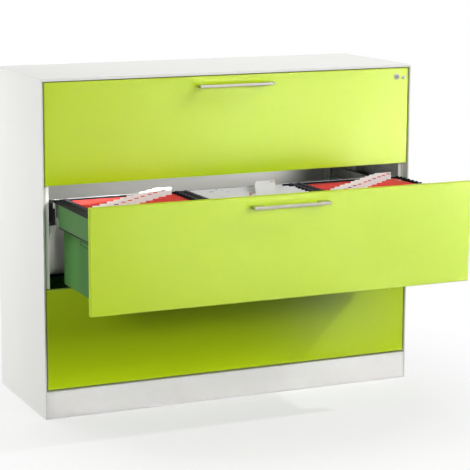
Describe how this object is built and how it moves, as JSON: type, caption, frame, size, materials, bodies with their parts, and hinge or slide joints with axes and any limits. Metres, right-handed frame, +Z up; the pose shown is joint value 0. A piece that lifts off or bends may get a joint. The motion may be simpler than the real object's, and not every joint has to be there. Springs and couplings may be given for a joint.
{
  "type": "lateral filing cabinet",
  "caption": "Wide steel lateral filing cabinet on a plinth, with full-width drawers, the middle one pulled out to show its hanging files",
  "frame": {"origin": "on the floor, in the middle of the outline that the carcass, the open middle drawer and its handle take up", "axes": "+X along the width to the right as seen from the front, -Y out of the drawer fronts, +Z up"},
  "size_m": [1.2, 0.838, 0.998],
  "materials": {
    "white_paint": "fine satin powder coat",
    "light_grey_paint": "satin powder coat",
    "green_paint": "fine satin powder coat",
    "dark_green_paint": "satin powder coat",
    "black_plastic": "matt moulded plastic",
    "zinc_plate": "zinc-plated rolled steel",
    "satin_nickel": "satin nickel",
    "red_card": "matt coloured card",
    "dark_card": "matt dark card"
  },
  "bodies": {
    "carcass": {"side_panel_left": "white_paint", "side_panel_right": "white_paint", "top_panel": "white_paint", "back_panel": "light_grey_paint", "floor_panel": "light_grey_paint", "plinth_front": "white_paint", "plinth_rear": "white_paint", "upright_front_left": "light_grey_paint", "levelling_foot_front_left": "black_plastic", "upright_rear_left": "light_grey_paint", "levelling_foot_rear_left": "black_plastic", "runner_fixed_bottom_left": "zinc_plate", "runner_fixed_middle_left": "zinc_plate", "runner_fixed_top_left": "zinc_plate", "upright_front_right": "light_grey_paint", "levelling_foot_front_right": "black_plastic", "upright_rear_right": "light_grey_paint", "levelling_foot_rear_right": "black_plastic", "runner_fixed_bottom_right": "zinc_plate", "runner_fixed_middle_right": "zinc_plate", "runner_fixed_top_right": "zinc_plate", "interlock_guide_bottom": "light_grey_paint", "interlock_guide_middle": "light_grey_paint", "interlock_guide_top": "light_grey_paint", "lock_strike": "zinc_plate"},
    "interlock_bar": {"interlock_bar": "zinc_plate"},
    "drawer_bottom": {"drawer_front_bottom": "green_paint", "drawer_liner_bottom": "green_paint", "drawer_tray_bottom": "dark_green_paint", "file_rails_bottom": "black_plastic", "drawer_handle_bottom": "satin_nickel", "runner_inner_bottom_left": "zinc_plate", "runner_inner_bottom_right": "zinc_plate"},
    "runner_middle_bottom_left": {"runner_middle_bottom_left": "zinc_plate"},
    "runner_middle_bottom_right": {"runner_middle_bottom_right": "zinc_plate"},
    "drawer_middle": {"drawer_front_middle": "green_paint", "drawer_liner_middle": "green_paint", "drawer_tray_middle": "dark_green_paint", "file_rails_middle": "black_plastic", "drawer_handle_middle": "satin_nickel", "runner_inner_middle_left": "zinc_plate", "runner_inner_middle_right": "zinc_plate", "hanging_files_left": "red_card", "hanging_files_centre": "dark_card", "hanging_files_right": "red_card"},
    "runner_middle_middle_left": {"runner_middle_middle_left": "zinc_plate"},
    "runner_middle_middle_right": {"runner_middle_middle_right": "zinc_plate"},
    "drawer_top": {"drawer_front_top": "green_paint", "drawer_liner_top": "green_paint", "drawer_tray_top": "dark_green_paint", "file_rails_top": "black_plastic", "drawer_handle_top": "satin_nickel", "runner_inner_top_left": "zinc_plate", "runner_inner_top_right": "zinc_plate", "lock_housing": "satin_nickel", "lock_stud": "satin_nickel"},
    "runner_middle_top_left": {"runner_middle_top_left": "zinc_plate"},
    "runner_middle_top_right": {"runner_middle_top_right": "zinc_plate"},
    "lock_barrel": {"lock_barrel": "satin_nickel", "lock_cam": "zinc_plate"}
  },
  "joints": [
    {"name": "drawer_bottom_slide", "type": "slide", "parent": "carcass", "child": "drawer_bottom", "axis": [0, -1, 0], "range_m": [0, 0.385]},
    {"name": "runner_middle_bottom_left_slide", "type": "slide", "parent": "carcass", "child": "runner_middle_bottom_left", "axis": [0, -1, 0], "range_m": [0, 0.1925]},
    {"name": "runner_middle_bottom_right_slide", "type": "slide", "parent": "carcass", "child": "runner_middle_bottom_right", "axis": [0, -1, 0], "range_m": [0, 0.1925]},
    {"name": "drawer_middle_slide", "type": "slide", "parent": "carcass", "child": "drawer_middle", "axis": [0, -1, 0], "range_m": [-0.374, 0.011]},
    {"name": "runner_middle_middle_left_slide", "type": "slide", "parent": "carcass", "child": "runner_middle_middle_left", "axis": [0, -1, 0], "range_m": [-0.187, 0.0055]},
    {"name": "runner_middle_middle_right_slide", "type": "slide", "parent": "carcass", "child": "runner_middle_middle_right", "axis": [0, -1, 0], "range_m": [-0.187, 0.0055]},
    {"name": "drawer_top_slide", "type": "slide", "parent": "carcass", "child": "drawer_top", "axis": [0, -1, 0], "range_m": [0, 0.385]},
    {"name": "runner_middle_top_left_slide", "type": "slide", "parent": "carcass", "child": "runner_middle_top_left", "axis": [0, -1, 0], "range_m": [0, 0.1925]},
    {"name": "runner_middle_top_right_slide", "type": "slide", "parent": "carcass", "child": "runner_middle_top_right", "axis": [0, -1, 0], "range_m": [0, 0.1925]},
    {"name": "lock_turn", "type": "hinge", "parent": "drawer_top", "child": "lock_barrel", "pos_m": [0.551, -0.016, 0.961], "axis": [0, 1, 0], "range_deg": [0, 90]},
    {"name": "interlock_lift", "type": "slide", "parent": "carcass", "child": "interlock_bar", "axis": [0, 0, 1], "range_m": [0, 0.012]}
  ],
  "couplings": [
    {"joint": "runner_middle_bottom_left_slide", "follows": "drawer_bottom_slide", "ratio": 0.5},
    {"joint": "runner_middle_bottom_right_slide", "follows": "drawer_bottom_slide", "ratio": 0.5},
    {"joint": "runner_middle_middle_left_slide", "follows": "drawer_middle_slide", "ratio": 0.5},
    {"joint": "runner_middle_middle_right_slide", "follows": "drawer_middle_slide", "ratio": 0.5},
    {"joint": "runner_middle_top_left_slide", "follows": "drawer_top_slide", "ratio": 0.5},
    {"joint": "runner_middle_top_right_slide", "follows": "drawer_top_slide", "ratio": 0.5}
  ]
}
